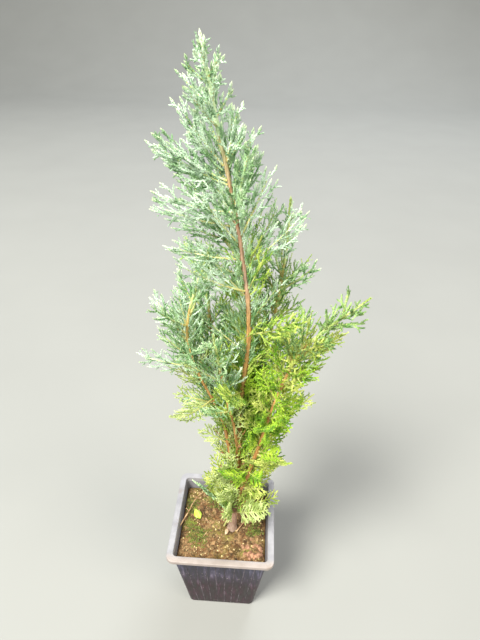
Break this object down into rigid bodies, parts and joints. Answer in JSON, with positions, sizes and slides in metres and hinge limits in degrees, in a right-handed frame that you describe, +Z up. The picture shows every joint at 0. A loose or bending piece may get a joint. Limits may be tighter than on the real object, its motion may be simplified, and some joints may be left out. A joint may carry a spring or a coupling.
{
  "type": "potted thuja",
  "caption": "Young thuja-like conifer with feathery blue-green foliage on several slender stems, in a square tapered nursery pot filled with soil.",
  "frame": {"origin": "centre of the pot's flat underside, on the ground", "axes": "+Z up along the plant, +X to the picture's right, -Y towards its viewer"},
  "size_m": [0.1411, 0.104, 0.4679],
  "materials": {
    "pot_plastic": "thin moulded polypropylene, dusty and scuffed",
    "potting_soil": "damp peat and bark compost",
    "leader_bark": "thin scaly orange-brown bark",
    "stem_bark": "smooth young orange-tan bark",
    "blue_green_foliage": "waxy silvery blue-green scale leaves",
    "green_foliage": "fresh yellow-green scale leaves"
  },
  "bodies": {
    "root": {"pot": "pot_plastic", "soil": "potting_soil", "leader": "leader_bark", "right_stem": "stem_bark", "left_stem": "stem_bark", "back_right_stem": "stem_bark", "front_stem": "stem_bark", "back_left_stem": "stem_bark", "back_stem": "stem_bark", "leader_tip_foliage": "blue_green_foliage", "right_tip_foliage": "blue_green_foliage", "left_tip_foliage": "blue_green_foliage", "back_right_tip_foliage": "blue_green_foliage", "front_tip_foliage": "blue_green_foliage", "back_left_tip_foliage": "blue_green_foliage", "back_tip_foliage": "blue_green_foliage", "leader_foliage_1": "green_foliage", "leader_foliage_2": "green_foliage", "leader_foliage_3": "green_foliage", "leader_foliage_4": "green_foliage", "leader_foliage_5": "green_foliage", "leader_foliage_6": "blue_green_foliage", "leader_foliage_7": "blue_green_foliage", "leader_foliage_8": "blue_green_foliage", "leader_foliage_9": "blue_green_foliage", "leader_foliage_10": "blue_green_foliage", "leader_foliage_11": "blue_green_foliage", "leader_foliage_12": "blue_green_foliage", "leader_foliage_13": "blue_green_foliage", "leader_foliage_14": "blue_green_foliage", "leader_foliage_15": "blue_green_foliage", "leader_foliage_16": "blue_green_foliage", "right_foliage_1": "green_foliage", "right_foliage_2": "green_foliage", "right_foliage_3": "green_foliage", "right_foliage_4": "green_foliage", "right_foliage_5": "green_foliage", "right_foliage_6": "blue_green_foliage", "right_foliage_7": "blue_green_foliage", "right_foliage_8": "blue_green_foliage", "left_foliage_1": "green_foliage", "left_foliage_2": "green_foliage", "left_foliage_3": "blue_green_foliage", "left_foliage_4": "blue_green_foliage", "left_foliage_5": "blue_green_foliage", "left_foliage_6": "blue_green_foliage", "left_foliage_7": "blue_green_foliage", "back_right_foliage_1": "green_foliage", "back_right_foliage_2": "blue_green_foliage", "back_right_foliage_3": "blue_green_foliage", "back_right_foliage_4": "blue_green_foliage", "front_foliage_1": "green_foliage", "front_foliage_2": "blue_green_foliage", "back_left_foliage_1": "green_foliage", "back_left_foliage_2": "blue_green_foliage", "back_left_foliage_3": "blue_green_foliage", "back_foliage_1": "green_foliage", "back_foliage_2": "green_foliage", "back_foliage_3": "blue_green_foliage"}
  },
  "joints": []
}
